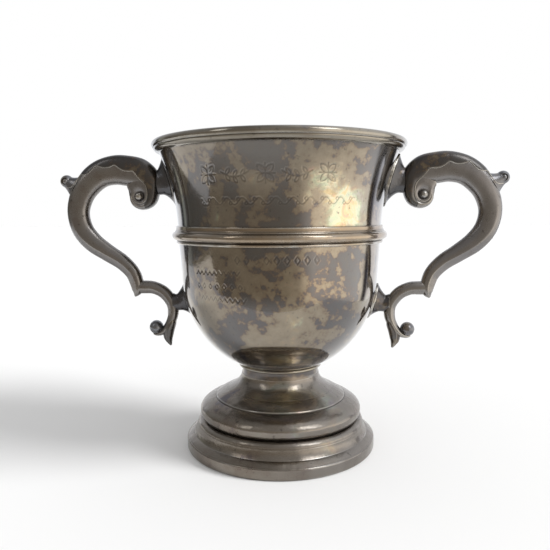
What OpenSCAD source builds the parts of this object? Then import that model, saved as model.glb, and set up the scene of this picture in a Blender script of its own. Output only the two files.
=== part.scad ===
// Two-handled silver presentation cup: a round-bottomed bowl on a stepped foot, with cast scroll handles.
// The origin is the centre of the face that the cup stands on. +Z is up, and the handles lie along X.
// Each silver piece is its own solid, and the pieces meet face to face at their soldered joints.

/* [Foot] */
// Diameter of the base band, the widest part of the foot
foot_d = 80; // [78:0.5:82]
// Height of the base band
band_h = 6.4; // [6:0.1:6.8]
// Height of the undercut between the foot's two tiers
undercut_h = 12.6; // [12.2:0.1:13]
// Height of the ridge line on the upper tier
ridge_h = 21.2; // [20.8:0.1:21.8]
// Height of the foot, up to the collet
foot_h = 31; // [30.6:0.1:31.6]
// Diameter of the top of the foot
neck_d = 33; // [32:0.5:34]

/* [Bowl] */
// Height of the cup, up to the lip
cup_h = 127; // [126:0.5:128]
// Height at which the bowl sits on the collet
joint_h = 35; // [34.6:0.1:35.4]
// Radius of the round bottom of the bowl
bowl_r = 40.6; // [40:0.1:41]
// Diameter of the bowl at the girdle
waist_d = 83.8; // [83:0.2:84.6]
// Height of the girdle's widest line
girdle_h = 89.5; // [88.5:0.5:90.5]
// Diameter over the rim moulding
rim_d = 103.6; // [102.6:0.2:104.6]
// Thickness of the spun silver sheet
wall = 0.8; // [0.6:0.1:1]

/* [Handles] */
// Depth of the main scroll, front to back, at its arch
arch_depth = 8; // [7:0.2:9]
// Radius of the turned ball on the thumbpiece
thumb_r = 2.7; // [2.4:0.1:3]
// Radius of the turned ball in the lower scroll
ball_r = 3; // [2.7:0.1:3.2]
// Radius of the buttons in the eye of each volute
button_r = 1.9; // [1.6:0.1:2.1]
// Height of the leaf above the scroll that it lies on
leaf_t = 0.35; // [0.25:0.05:0.5]

/* [Hidden] */
$fn = 96;

foot_r = foot_d / 2;
neck_r = neck_d / 2;
waist_r = waist_d / 2;
rim_r = rim_d / 2;

// The collet is a little narrower than the top of the foot
collet_r = neck_r - 0.2;
bead_r = 0.7;

// The bowl is a part of a sphere, then a tapered wall tangent to it, then a flare that starts upright
bowl_z = joint_h + sqrt(bowl_r * bowl_r - neck_r * neck_r);
taper = acos(bowl_r / norm([waist_r, girdle_h - bowl_z])) - atan2(girdle_h - bowl_z, waist_r);
lip_z = cup_h - 1;
rim_h = 4.7;
lip_r = rim_r - 1.3;
flare_rise = lip_z - girdle_h;
flare_run = lip_r - waist_r;
flare_r = (flare_rise * flare_rise + flare_run * flare_run) / (2 * flare_run);

// The handle's volute turns about this eye, in the plane of the handle
eye_x = 58.8;
eye_z = 105.6;
web_depth = 5;
web_r = 4.2;
// The flat landings where the handle is soldered to its mounts
upper_landing_x = 51.6;
lower_landing_x = 44.2;
// The upright joint between the main scroll and the lower scroll
scroll_joint_x = 59.3;
thumb_at = [90.7, 0, 112.2];
ball_at = [53.6, 0, 49.5];
// The flat joint of the tail spur runs through this point, at this slope
tail_joint = [47.9, 0, 49.2];
tail_slope = -50;

// The volute's band winds in from this direction and this far from the eye, and takes this long a turn
volute_from = 15;
volute_reach = 3.25;
volute_turn = 195;

// Deeper than any handle, so that a cut at a joint goes right through it
through = 12;
scroll_sides = 12;
mount_sides = 20;
// Under 1, this squares the round section of the handle; 1 leaves it an ellipse
squareness = 0.8;

old_silver = [0.50, 0.48, 0.44];
dark_silver = [0.38, 0.36, 0.34];
bright_silver = [0.62, 0.57, 0.48];

// Points on an arc about a centre, in steps from one angle to another
function arc(c, r, a0, a1, n) = [for (i = [0:n]) let (a = a0 + (a1 - a0) * i / n) c + r * [cos(a), sin(a)]];

// Points on a parabola that leaves p towards q and arrives at s
function curve(p, q, s, n) =
    [for (i = [0:n]) let (t = i / n) (1 - t) * (1 - t) * p + 2 * t * (1 - t) * q + t * t * s];

function reversed(p) = [for (i = [len(p) - 1:-1:0]) p[i]];

// A profile's inner points, one wall thickness to its left as it is drawn
function inset(p, d) = [
    for (i = [1:len(p) - 2])
        let (t = (p[i + 1] - p[i - 1]) / norm(p[i + 1] - p[i - 1])) p[i] + d * [-t[1], t[0]]
];

function flare_at(z) = waist_r + flare_r - sqrt(flare_r * flare_r - (z - girdle_h) * (z - girdle_h));
function bottom_at(r) = bowl_z - sqrt(bowl_r * bowl_r - r * r);

// A smooth line through knots, where each knot may hold sizes as well as a place
function smooth(k, per) = concat(
    [for (i = [0:len(k) - 2], j = [0:per - 1]) between(
        k[max(i - 1, 0)], k[i], k[i + 1], k[min(i + 2, len(k) - 1)], j / per)],
    [k[len(k) - 1]]
);
function between(a, b, c, d, t) =
    0.5 * (2 * b + (c - a) * t + (2 * a - 5 * b + 4 * c - d) * t * t + (3 * b - a - 3 * c + d) * t * t * t);

function squared(v) = sign(v) * pow(abs(v), squareness);
function direction(s, i) =
    let (a = s[max(i - 1, 0)], b = s[min(i + 1, len(s) - 1)], t = [b[0] - a[0], b[1] - a[1]]) t / norm(t);

// A point on the section of a scroll, at an angle from its outer side. A station is [x, z, width, depth]
function on_section(s, i, a, grow = 0) =
    let (
        t = direction(s, i),
        u = (s[i][2] / 2 + grow) * squared(cos(a)),
        v = (s[i][3] / 2 + grow) * squared(sin(a))
    )
    [s[i][0] - u * t[1], v, s[i][1] + u * t[0]];

function scroll_rings(s) =
    [for (i = [0:len(s) - 1]) [for (k = [0:scroll_sides - 1]) on_section(s, i, 360 * k / scroll_sides)]];

// The volute's band, which winds in to the eye as it narrows
volute = [
    for (a = [volute_from, -25, -65, -105, -145, -180])
        let (
            turned_by = (volute_from - a) / volute_turn,
            reach = volute_reach * exp(turned_by * 0.47),
            width = 1.6 * exp(turned_by)
        )
        [eye_x + reach * cos(a), eye_z + reach * sin(a), width, 5.6 + 1.8 * turned_by]
];

// The main scroll: over the arch, down the outside and in to the pointed heel
main_line = smooth(concat(volute, [
    [53.6, 109.4, 6.0, arch_depth - 0.3],
    [54.8, 112.9, 9.0, arch_depth - 0.1],
    [58.8, 115.2, 12.0, arch_depth],
    [64.2, 116.5, 12.0, arch_depth],
    [69.5, 116.8, 11.8, arch_depth],
    [75.4, 115.2, 11.4, arch_depth - 0.2],
    [80.3, 111.6, 10.8, arch_depth - 0.4],
    [84.2, 106.3, 10.0, arch_depth - 0.7],
    [86.1, 99.2, 9.4, arch_depth - 1.0],
    [84.6, 92.0, 9.1, arch_depth - 1.3],
    [80.2, 86.3, 8.5, arch_depth - 1.6],
    [73.8, 81.7, 7.4, arch_depth - 2.0],
    [67.8, 77.8, 6.8, arch_depth - 2.3],
    [63.4, 73.2, 6.3, arch_depth - 2.5],
    [61.6, 68.4, 5.8, arch_depth - 2.7],
    [61.6, 65.2, 4.4, arch_depth - 3.4],
    [62.5, 63.0, 1.0, arch_depth - 6.0]
]), 2);

// The lower scroll: in from the heel, round the C and under its ball
lower_line = smooth([
    [62.0, 66.9, 5.6, 4.6],
    [58.6, 67.0, 5.6, 5.0],
    [54.2, 66.7, 5.4, 5.0],
    [49.8, 64.5, 5.3, 5.2],
    [46.5, 60.0, 5.0, 5.4],
    [46.2, 55.0, 4.5, 5.2],
    [47.9, 50.8, 3.7, 4.8],
    [50.6, 47.7, 2.9, 4.3],
    [53.2, 46.6, 1.8, 3.4],
    [54.8, 46.7, 0.8, 2.4]
], 3);

tail_line = smooth([
    [46.4, 52.4, 3.4, 4.6],
    [48.1, 48.4, 4.4, 4.4],
    [48.4, 45.2, 3.8, 3.6],
    [48.0, 43.2, 2.4, 2.6],
    [47.4, 41.6, 0.8, 1.4]
], 3);

// Each station of a mount is [x, lowest z, highest z, half its depth]
upper_mount_line = smooth([
    [41.0, 100.4, 122.8, 5.6],
    [43.6, 100.8, 122.4, 5.2],
    [46.0, 102.5, 121.9, 4.6],
    [48.2, 104.7, 121.2, 3.9],
    [50.0, 105.9, 119.2, 3.4],
    [51.6, 106.2, 116.4, 3.2]
], 3);
lower_mount_line = smooth([
    [35.0, 53.4, 69.4, 4.6],
    [37.0, 54.0, 69.2, 4.4],
    [39.6, 55.5, 69.0, 3.8],
    [41.2, 56.6, 67.2, 3.2],
    [42.8, 57.2, 64.4, 2.7],
    [44.2, 56.9, 63.5, 2.6]
], 3);

module turned(points) {
    rotate_extrude() polygon(points);
}

// A closed solid through rings of points, each ring with the same number of points
module loft(rings) {
    n = len(rings);
    m = len(rings[0]);
    sides = [
        for (i = [0:n - 2], k = [0:m - 1], half = [0, 1])
            let (a = i * m + k, b = i * m + (k + 1) % m) half == 0 ? [a, b, b + m] : [a, b + m, a + m]
    ];
    first_cap = [for (k = [1:m - 2]) [0, k + 1, k]];
    last_cap = [for (k = [1:m - 2]) [(n - 1) * m, (n - 1) * m + k, (n - 1) * m + k + 1]];
    polyhedron(points = [for (r = rings, p = r) p], faces = concat(sides, first_cap, last_cap));
}

module mount_loft(s) {
    loft([
        for (p = s) [
            for (k = [0:mount_sides - 1])
                let (a = 360 * k / mount_sides)
                [p[0], p[3] * cos(a), (p[1] + p[2]) / 2 + (p[2] - p[1]) / 2 * sin(a)]
        ]
    ]);
}

bowl_outer = concat(
    arc([0, bowl_z], bowl_r, -90, -taper, 30),
    arc([waist_r + flare_r, girdle_h], flare_r, 180, 180 - asin(flare_rise / flare_r), 14)
);

// The room that the bowl fills, as one solid, used to fit the mounts to it
module bowl_room() {
    turned(concat(bowl_outer, [[0, lip_z]]));
}

module base_band() {
    crease = [foot_r - 3, band_h];
    color(old_silver) turned(concat(
        [[foot_r - 4, 0], [foot_r - 0.9, 0]],
        arc([foot_r - 0.9, 0.9], 0.9, -60, 0, 3),
        curve([foot_r, band_h - 3.2], [foot_r - 0.1, band_h + 0.3], crease, 10),
        [[foot_r - 4, band_h]]
    ));
}

// One spun sheet: a cove and a shoulder, an undercut, the rolled upper tier, and the sweep up to the neck
module foot_shell() {
    shoulder = [foot_r - 4.5, undercut_h - 2.5];
    undercut = [foot_r - 7.4, undercut_h];
    belly = [foot_r - 5.7, undercut_h + 3.2];
    ridge = [foot_r - 12.4, ridge_h];
    sweep_mid = [neck_r + 5.7, ridge_h + 3.3];
    outer = concat(
        curve([foot_r - 3, band_h], [foot_r - 4.2, band_h + 1.6], shoulder, 6),
        curve(shoulder + [-0.1, 0.2], [shoulder[0] - 0.4, undercut_h - 0.2], undercut, 7),
        curve(undercut + [0.1, 0.3], [belly[0] - 0.1, undercut_h + 0.6], belly, 7),
        curve(belly + [0, 0.2], [belly[0] - 0.1, ridge_h - 2.3], ridge, 10),
        curve(ridge + [-0.1, 0.4], [foot_r - 14.6, ridge_h + 1.6], sweep_mid, 6),
        curve(sweep_mid + [-0.2, 0.13], [neck_r + 0.3, ridge_h + 6.2], [neck_r, foot_h], 10)
    );
    top = outer[len(outer) - 1];
    color(old_silver) turned(concat(
        outer,
        [top - [wall, 0]],
        reversed(inset(outer, wall)),
        [outer[0] - [wall, 0]]
    ));
}

module collet() {
    inner_r = collet_r - wall;
    color(dark_silver) turned([
        [inner_r, foot_h],
        [collet_r, foot_h],
        [collet_r, bottom_at(collet_r)],
        [inner_r, bottom_at(inner_r)]
    ]);
}

module collet_bead() {
    centre = [collet_r + 0.6, bottom_at(collet_r + 0.6) - 0.55];
    color(bright_silver) turned(concat(arc(centre, bead_r, -149, 62, 12), [[collet_r, bottom_at(collet_r)]]));
}

module bowl() {
    color(old_silver) turned(concat(
        bowl_outer,
        [[lip_r - wall, lip_z]],
        reversed(inset(bowl_outer, wall)),
        [[0, bowl_z - bowl_r + wall]]
    ));
}

module girdle_moulding() {
    z = girdle_h;
    low = z - 3.2;
    high = z + 4.1;
    under = waist_r - (z - low) * tan(taper);
    color(bright_silver) turned(concat(
        [[under, low]],
        arc([waist_r + 0.2, z - 2.6], 0.6, -90, 60, 6),
        arc([waist_r + 0.9, z], 1.6, -75, 75, 14),
        curve([waist_r + 1.2, z + 1.9], [waist_r + 0.8, z + 2.2], [waist_r + 0.8, z + 3], 4),
        [[waist_r + 0.8, z + 3.7], [flare_at(high), high], [flare_at(z + 2), z + 2], [waist_r, z]]
    ));
}

// A roll round the lip over a bulging moulding
module rim_moulding() {
    low = cup_h - rim_h;
    roll = 1.5;
    color(old_silver) turned(concat(
        curve([flare_at(low), low], [rim_r - 0.9, low + 0.5], [rim_r - 0.7, cup_h - 2.7], 6),
        arc([rim_r - roll, cup_h - roll], roll, -45, 90, 12),
        [[lip_r - wall + 0.5, cup_h], [lip_r - wall, cup_h - 0.5], [lip_r - wall, lip_z]],
        [for (z = [lip_z:-0.75:low + 0.75]) [flare_at(z), z]]
    ));
}

// A trumpet of solid silver, fitted to the flared wall and flat where the handle lands
module upper_mount() {
    color(dark_silver) difference() {
        mount_loft(upper_mount_line);
        bowl_room();
        translate([0, 0, cup_h - rim_h]) cylinder(h = rim_h, r = rim_r);
    }
}

module lower_mount() {
    color(dark_silver) difference() {
        mount_loft(lower_mount_line);
        bowl_room();
    }
}

// The swept band with its volute, cut flat at the mount and at the lower scroll
module main_scroll() {
    color(dark_silver) difference() {
        union() {
            loft(scroll_rings(main_line));
            translate([eye_x, web_depth / 2, eye_z]) rotate([90, 0, 0]) cylinder(h = web_depth, r = web_r);
        }
        translate([upper_landing_x - 5, -through / 2, 103]) cube([5, through, 14]);
        translate([scroll_joint_x - 5, -through / 2, 62]) cube([5, through, 9]);
    }
}

// A raised leaf that wraps the outer side of the arch and thins out towards the thumbpiece
module leaf_cap() {
    // The stations of the main scroll that it covers
    first = 13;
    last = 24;
    // How far round it reaches to each side of the outer line, in degrees, at its two ends
    widest = 118;
    narrowest = 56;
    reach = [
        for (i = [first:last]) widest - (widest - narrowest) * pow((i - first) / (last - first), 1.3)
    ];
    steps = 8;
    color(dark_silver) loft([
        for (i = [first:last]) concat(
            [for (k = [0:steps]) on_section(main_line, i, reach[i - first] * (2 * k / steps - 1), leaf_t)],
            [for (k = [steps:-1:0]) on_section(main_line, i, reach[i - first] * (2 * k / steps - 1))]
        )
    ]);
}

// A turned ball on a short thick neck
module thumb_ball() {
    root = [86.2, 0, 109.8];
    root_r = 3.7;
    reach = thumb_at - root;
    color(dark_silver) difference() {
        union() {
            translate(thumb_at) sphere(r = thumb_r);
            translate(root) rotate([0, 90 - atan2(reach[2], reach[0]), 0])
                cylinder(h = norm(reach), r1 = root_r, r2 = thumb_r - 0.3);
        }
        loft(scroll_rings(main_line));
    }
}

// A domed button on one side of the web
module volute_button() {
    color(bright_silver) intersection() {
        translate([eye_x, -web_depth / 2, eye_z]) sphere(r = button_r);
        translate([eye_x - 5, -web_depth / 2 - 5, eye_z - 5]) cube([10, 5, 10]);
    }
}

module tail_side() {
    translate(tail_joint) rotate([0, -tail_slope, 0]) translate([-8, -through / 2, -12]) cube([16, through, 12]);
}

module lower_scroll() {
    color(dark_silver) difference() {
        loft(scroll_rings(lower_line));
        translate([scroll_joint_x, -through / 2, 60]) cube([6, through, 14]);
        translate([lower_landing_x - 5, -through / 2, 54]) cube([5, through, 12]);
        translate(ball_at) sphere(r = ball_r);
        tail_side();
    }
}

module scroll_ball() {
    color(dark_silver) translate(ball_at) sphere(r = ball_r);
}

module tail_spur() {
    color(dark_silver) difference() {
        intersection() {
            loft(scroll_rings(tail_line));
            tail_side();
        }
        translate(ball_at) sphere(r = ball_r);
    }
}

module left_upper_mount() { mirror([1, 0, 0]) upper_mount(); }
module left_lower_mount() { mirror([1, 0, 0]) lower_mount(); }
module left_main_scroll() { mirror([1, 0, 0]) main_scroll(); }
module left_leaf_cap() { mirror([1, 0, 0]) leaf_cap(); }
module left_thumb_ball() { mirror([1, 0, 0]) thumb_ball(); }
module left_volute_button_front() { mirror([1, 0, 0]) volute_button(); }
module left_volute_button_back() { mirror([1, 0, 0]) mirror([0, 1, 0]) volute_button(); }
module left_lower_scroll() { mirror([1, 0, 0]) lower_scroll(); }
module left_scroll_ball() { mirror([1, 0, 0]) scroll_ball(); }
module left_tail_spur() { mirror([1, 0, 0]) tail_spur(); }

module right_upper_mount() { upper_mount(); }
module right_lower_mount() { lower_mount(); }
module right_main_scroll() { main_scroll(); }
module right_leaf_cap() { leaf_cap(); }
module right_thumb_ball() { thumb_ball(); }
module right_volute_button_front() { volute_button(); }
module right_volute_button_back() { mirror([0, 1, 0]) volute_button(); }
module right_lower_scroll() { lower_scroll(); }
module right_scroll_ball() { scroll_ball(); }
module right_tail_spur() { tail_spur(); }

base_band();
foot_shell();
collet();
collet_bead();
bowl();
girdle_moulding();
rim_moulding();
left_upper_mount();
left_lower_mount();
left_main_scroll();
left_leaf_cap();
left_thumb_ball();
left_volute_button_front();
left_volute_button_back();
left_lower_scroll();
left_scroll_ball();
left_tail_spur();
right_upper_mount();
right_lower_mount();
right_main_scroll();
right_leaf_cap();
right_thumb_ball();
right_volute_button_front();
right_volute_button_back();
right_lower_scroll();
right_scroll_ball();
right_tail_spur();
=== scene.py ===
"""A two-handled silver presentation cup: its visible meshes, its tarnish, the studio and the camera.

Shapes are worked out in millimetres in the CAD's frame (+Z up, the handles along X, the front at -Y)
and turned into metres when a mesh is made.
"""
import math

import bmesh
import bpy
import numpy as np
from mathutils import Matrix, Vector
from mathutils.bvhtree import BVHTree


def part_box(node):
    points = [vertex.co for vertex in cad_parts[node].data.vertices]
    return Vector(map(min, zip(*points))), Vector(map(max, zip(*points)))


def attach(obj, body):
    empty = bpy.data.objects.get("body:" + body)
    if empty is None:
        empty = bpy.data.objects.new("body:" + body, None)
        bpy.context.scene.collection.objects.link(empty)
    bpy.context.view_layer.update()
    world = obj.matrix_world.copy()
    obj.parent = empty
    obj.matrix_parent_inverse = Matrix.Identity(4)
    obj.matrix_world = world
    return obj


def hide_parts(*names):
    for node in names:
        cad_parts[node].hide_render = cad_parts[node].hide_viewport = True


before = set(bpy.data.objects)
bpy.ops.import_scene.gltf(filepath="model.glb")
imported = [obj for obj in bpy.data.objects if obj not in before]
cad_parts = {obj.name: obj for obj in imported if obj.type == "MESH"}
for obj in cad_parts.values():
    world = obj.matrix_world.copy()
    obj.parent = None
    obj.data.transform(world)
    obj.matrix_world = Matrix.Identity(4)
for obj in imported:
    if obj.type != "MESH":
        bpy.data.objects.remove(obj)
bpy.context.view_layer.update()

MM = 0.001
SIDES = {"left": -1, "right": 1}


# ---- sizes, from the CAD frame

def low(node):
    return np.array(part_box(node)[0]) / MM


def high(node):
    return np.array(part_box(node)[1]) / MM


FOOT_R = high("base_band")[0]
BAND_H = high("base_band")[2]
FOOT_H = high("foot_shell")[2]
COLLET_R = high("collet")[0]
NECK_R = COLLET_R + 0.2
RIM_R = high("rim_moulding")[0]
CUP_H = high("rim_moulding")[2]
RIM_LOW = low("rim_moulding")[2]
GIRDLE_Z = low("girdle_moulding")[2] + 3.2
LIP_R = high("bowl")[0]
LIP_Z = high("bowl")[2]
BOWL_R = 40.6
BOWL_Z = low("bowl")[2] + BOWL_R
WAIST_R = 41.9
WALL = 0.8
BEAD_R = 0.7
ROLL_R = 1.5
BUTTON_R = 1.9
UNDERCUT_Z = 12.6
RIDGE_Z = 21.2
# The wall leans out so that it is tangent to the round bottom and meets the waist at the girdle
TAPER = math.acos(BOWL_R / math.hypot(WAIST_R, GIRDLE_Z - BOWL_Z)) - math.atan2(GIRDLE_Z - BOWL_Z, WAIST_R)
FLARE_RUN = LIP_R - WAIST_R
FLARE_R = ((LIP_Z - GIRDLE_Z) ** 2 + FLARE_RUN ** 2) / (2 * FLARE_RUN)
EYE = np.array([58.8, 105.6])
WEB_DEPTH = 5.0
THUMB_R = 2.7
THUMB = np.array([high("right_thumb_ball")[0] - THUMB_R, 0, 112.2])
BALL = (low("right_scroll_ball") + high("right_scroll_ball")) / 2
BALL_R = 3.0
# The radius left at the pole of a ball, so that its last ring doesn't shrink to a point
TIP_R = 0.01
# How deep the engraving goes, and how far hand-planishing leaves the bowl's wall uneven
ENGRAVING = 0.075
PLANISHING = 0.16
# The leaf's skin and the thumbpiece's neck start at these knots of the main scroll
LEAF_FROM = 3.2
NECK_FROM = 12.65
# The heights between which there is engraving, below the girdle and above it
LOWER_LINES = 65.0, 84.5
UPPER_LINES = 98.5, 117.5


def bowl_radius(z):
    """Outer radius of the bowl at height z."""
    z = np.asarray(z, float)
    sphere = np.sqrt(np.maximum(BOWL_R ** 2 - (z - BOWL_Z) ** 2, 0))
    wall = WAIST_R - (GIRDLE_Z - z) * math.tan(TAPER)
    flare = WAIST_R + FLARE_R - np.sqrt(np.maximum(FLARE_R ** 2 - (z - GIRDLE_Z) ** 2, 0))
    bend = BOWL_Z - BOWL_R * math.sin(TAPER)
    return np.where(z < bend, sphere, np.where(z < GIRDLE_Z, wall, flare))


# ---- drawing helpers

def full_turn(steps):
    """Angles all the way round, in radians."""
    return np.arange(steps) * 2 * math.pi / steps


def arc(centre, radius, start, stop, steps):
    angles = np.radians(np.linspace(start, stop, steps + 1))
    return np.array(centre) + radius * np.stack([np.cos(angles), np.sin(angles)], 1)


def curve(p, q, s, steps):
    """A parabola that leaves p towards q and arrives at s."""
    t = np.linspace(0, 1, steps + 1)[:, None]
    return (1 - t) ** 2 * np.array(p) + 2 * t * (1 - t) * np.array(q) + t ** 2 * np.array(s)


def smooth(knots, per):
    """A Catmull-Rom line through knots that hold any number of values."""
    k = np.array(knots, float)
    k = np.vstack([k[:1], k, k[-1:]])
    rows = []
    for a, b, c, d in zip(k[:-3], k[1:-2], k[2:-1], k[3:]):
        for t in np.arange(per) / per:
            rows.append(0.5 * (2 * b + (c - a) * t + (2 * a - 5 * b + 4 * c - d) * t ** 2
                               + (3 * b - a - 3 * c + d) * t ** 3))
    return np.array(rows + [k[-1]])


def linked(name, data):
    """A new object in the scene."""
    item = bpy.data.objects.new(name, data)
    bpy.context.scene.collection.objects.link(item)
    return item


def make(name, shape, node, coat, sharp=35, cut=None):
    """A piece from (points in millimetres, faces): it replaces its CAD node and rides on the cup.

    coat is its (slot, material). Where the last argument is over 0 it says how deep a graver went, and it
    also darkens the lines where the mouldings meet the bowl and, as painted shade, the foot's undercut;
    under 0 it says how far the point is rubbed bright, and on the volute's buttons it is a painted
    highlight. The material reads it and the wear worked out below.
    """
    points, faces = shape
    slot, material = coat
    mesh = bpy.data.meshes.new(name)
    mesh.from_pydata((np.asarray(points) * MM).tolist(), [], [list(map(int, f)) for f in faces])
    layer = mesh.attributes.new("cut", "FLOAT", "POINT")
    layer.data.foreach_set("value", np.zeros(len(points)) if cut is None else np.asarray(cut, float).ravel())
    work = bmesh.new()
    work.from_mesh(mesh)
    bmesh.ops.remove_doubles(work, verts=work.verts, dist=1e-7)
    bmesh.ops.recalc_face_normals(work, faces=work.faces)
    work.to_mesh(mesh)
    work.free()
    mark_wear(mesh)
    mesh.shade_smooth()
    mesh.set_sharp_from_angle(angle=math.radians(sharp))
    mesh.materials.append(material)
    piece = linked(name, mesh)
    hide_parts(node)
    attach(piece, "root")


def mark_wear(mesh):
    """Stores how tightly the surface bends at each point, in 1/mm: over 0 on edges, under 0 in creases."""
    count = len(mesh.vertices)
    at, normal = np.empty(count * 3), np.empty(count * 3)
    mesh.vertices.foreach_get("co", at)
    mesh.vertex_normals.foreach_get("vector", normal)
    at, normal = at.reshape(-1, 3) / MM, normal.reshape(-1, 3)
    pairs = np.empty(len(mesh.edges) * 2, int)
    mesh.edges.foreach_get("vertices", pairs)
    pairs = pairs.reshape(-1, 2)
    most, least = np.zeros(count), np.zeros(count)
    for a, b in ((pairs[:, 0], pairs[:, 1]), (pairs[:, 1], pairs[:, 0])):
        step = at[b] - at[a]
        bend = -2 * (step * normal[a]).sum(1) / np.maximum((step ** 2).sum(1), 0.01)
        np.maximum.at(most, a, bend)
        np.minimum.at(least, a, bend)
    bend = most + least
    mesh.attributes.new("bend", "FLOAT", "POINT").data.foreach_set("value", bend)


def grid_faces(rows, columns):
    """Quads between neighbouring rows of points, with the last column joined to the first."""
    faces = []
    for i in range(rows - 1):
        for k in range(columns):
            j = (k + 1) % columns
            faces.append((i * columns + k, i * columns + j, (i + 1) * columns + j, (i + 1) * columns + k))
    return faces


def tube(rings):
    """Points and faces of a closed solid through rings of equal length."""
    rings = np.asarray(rings)
    n, m = rings.shape[:2]
    faces = grid_faces(n, m)
    faces.append(list(range(m))[::-1])
    faces.append([(n - 1) * m + k for k in range(m)])
    return rings.reshape(-1, 3), faces


def turned(profile, steps, ripple=0.0, seed=1.0):
    """Points and faces of a ring turned from a closed outline of (radius, height) points."""
    outline = np.asarray(profile, float)
    angle = full_turn(steps)
    radius, height = outline.T[:, :, None] * np.ones(steps)
    radius = radius - ripple * waves(angle[None, :], height, seed)
    points = np.stack([radius * np.sin(angle), -radius * np.cos(angle), height], -1)
    n = len(outline)
    faces = grid_faces(n, steps)
    last = (n - 1) * steps
    faces += [(last + k, last + (k + 1) % steps, (k + 1) % steps, k) for k in range(steps)]
    return points.reshape(-1, 3), faces


def waves(angle, height, seed):
    """The slight unevenness of hand-planished metal, between 0 and 1, the same all the way round."""
    total = 0
    for i, (around, along) in enumerate([(2, 31.0), (3, 22.0), (5, 17.0), (7, 12.5), (11, 9.0)]):
        total = total + np.sin(around * angle + height / along * 2 + seed * (i + 1) * 1.7) / (1 + 0.5 * i)
    return 0.5 + total / 6.2


def inset(outline, distance):
    """The inner points of an open outline, to the left of the way it runs."""
    outline = np.asarray(outline)
    along = outline[2:] - outline[:-2]
    along = along / np.linalg.norm(along, axis=1)[:, None]
    return outline[1:-1] + distance * np.stack([-along[:, 1], along[:, 0]], 1)


# ---- tarnished silver

class Nodes:
    """Short calls for building a node tree."""

    def __init__(self, tree):
        self.tree = tree

    def add(self, kind, settings=(), **inputs):
        node = self.tree.nodes.new(kind)
        for key, value in dict(settings).items():
            setattr(node, key, value)
        for key, value in inputs.items():
            self.put(node, key.replace("_", " "), value)
        return node

    def put(self, node, key, value):
        socket = node.inputs[int(key) if key.isdigit() else key]
        if isinstance(value, bpy.types.NodeSocket):
            self.tree.links.new(value, socket)
        else:
            socket.default_value = value

    def math(self, operation, a, b):
        node = self.add("ShaderNodeMath", {"operation": operation})
        self.put(node, "0", a)
        self.put(node, "1", b)
        return node.outputs[0]

    def times(self, a, b):
        return self.math("MULTIPLY", a, b)

    def plus(self, a, b):
        return self.math("ADD", a, b)

    def mix(self, factor, a, b, blend="MIX"):
        node = self.add("ShaderNodeMix", {"data_type": "RGBA", "blend_type": blend})
        for key, value in (("0", factor), ("6", a), ("7", b)):
            self.put(node, key, (*value, 1) if isinstance(value, tuple) else value)
        return node.outputs[2]

    def noise(self, vector, scale, detail=4.0, rough=0.5, warp=0.0):
        node = self.add("ShaderNodeTexNoise", Vector=vector, Scale=scale, Detail=detail, Roughness=rough,
                        Distortion=warp)
        return node.outputs["Fac"]

    def ramp(self, value, stops):
        node = self.add("ShaderNodeValToRGB")
        elements = node.color_ramp.elements
        while len(elements) < len(stops):
            elements.new(0.5)
        for element, (position, colour) in zip(elements, stops):
            element.position = position
            element.color = (*colour, 1) if isinstance(colour, tuple) else (colour, colour, colour, 1)
        self.put(node, "Fac", value)
        return node.outputs["Color"]

    def place(self, scale=(1, 1, 1), offset=(0, 0, 0)):
        where = self.add("ShaderNodeTexCoord").outputs["Object"]
        node = self.add("ShaderNodeMapping", Vector=where, Scale=scale, Location=offset)
        return node.outputs[0]


# How silver changes colour as its sulphide film thickens: bright, straw, red-brown, violet, blue-grey, brown
FILM = [(0.00, (0.70, 0.67, 0.57)), (0.13, (0.46, 0.43, 0.35)), (0.25, (0.32, 0.285, 0.225)),
        (0.41, (0.26, 0.23, 0.175)), (0.455, (0.23, 0.19, 0.14)), (0.475, (0.16, 0.13, 0.11)),
        (0.50, (0.115, 0.108, 0.112)), (0.60, (0.112, 0.116, 0.125)), (0.74, (0.125, 0.12, 0.115)),
        (1.00, (0.055, 0.048, 0.042))]
# The colours that a very thin film adds where the silver is nearly bright
SHEEN = [(0.34, (1.0, 0.68, 0.62)), (0.43, (1.0, 0.91, 0.64)), (0.50, (1.0, 1.0, 0.92)),
         (0.57, (0.80, 1.0, 0.88)), (0.66, (0.80, 0.76, 1.0))]


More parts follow.
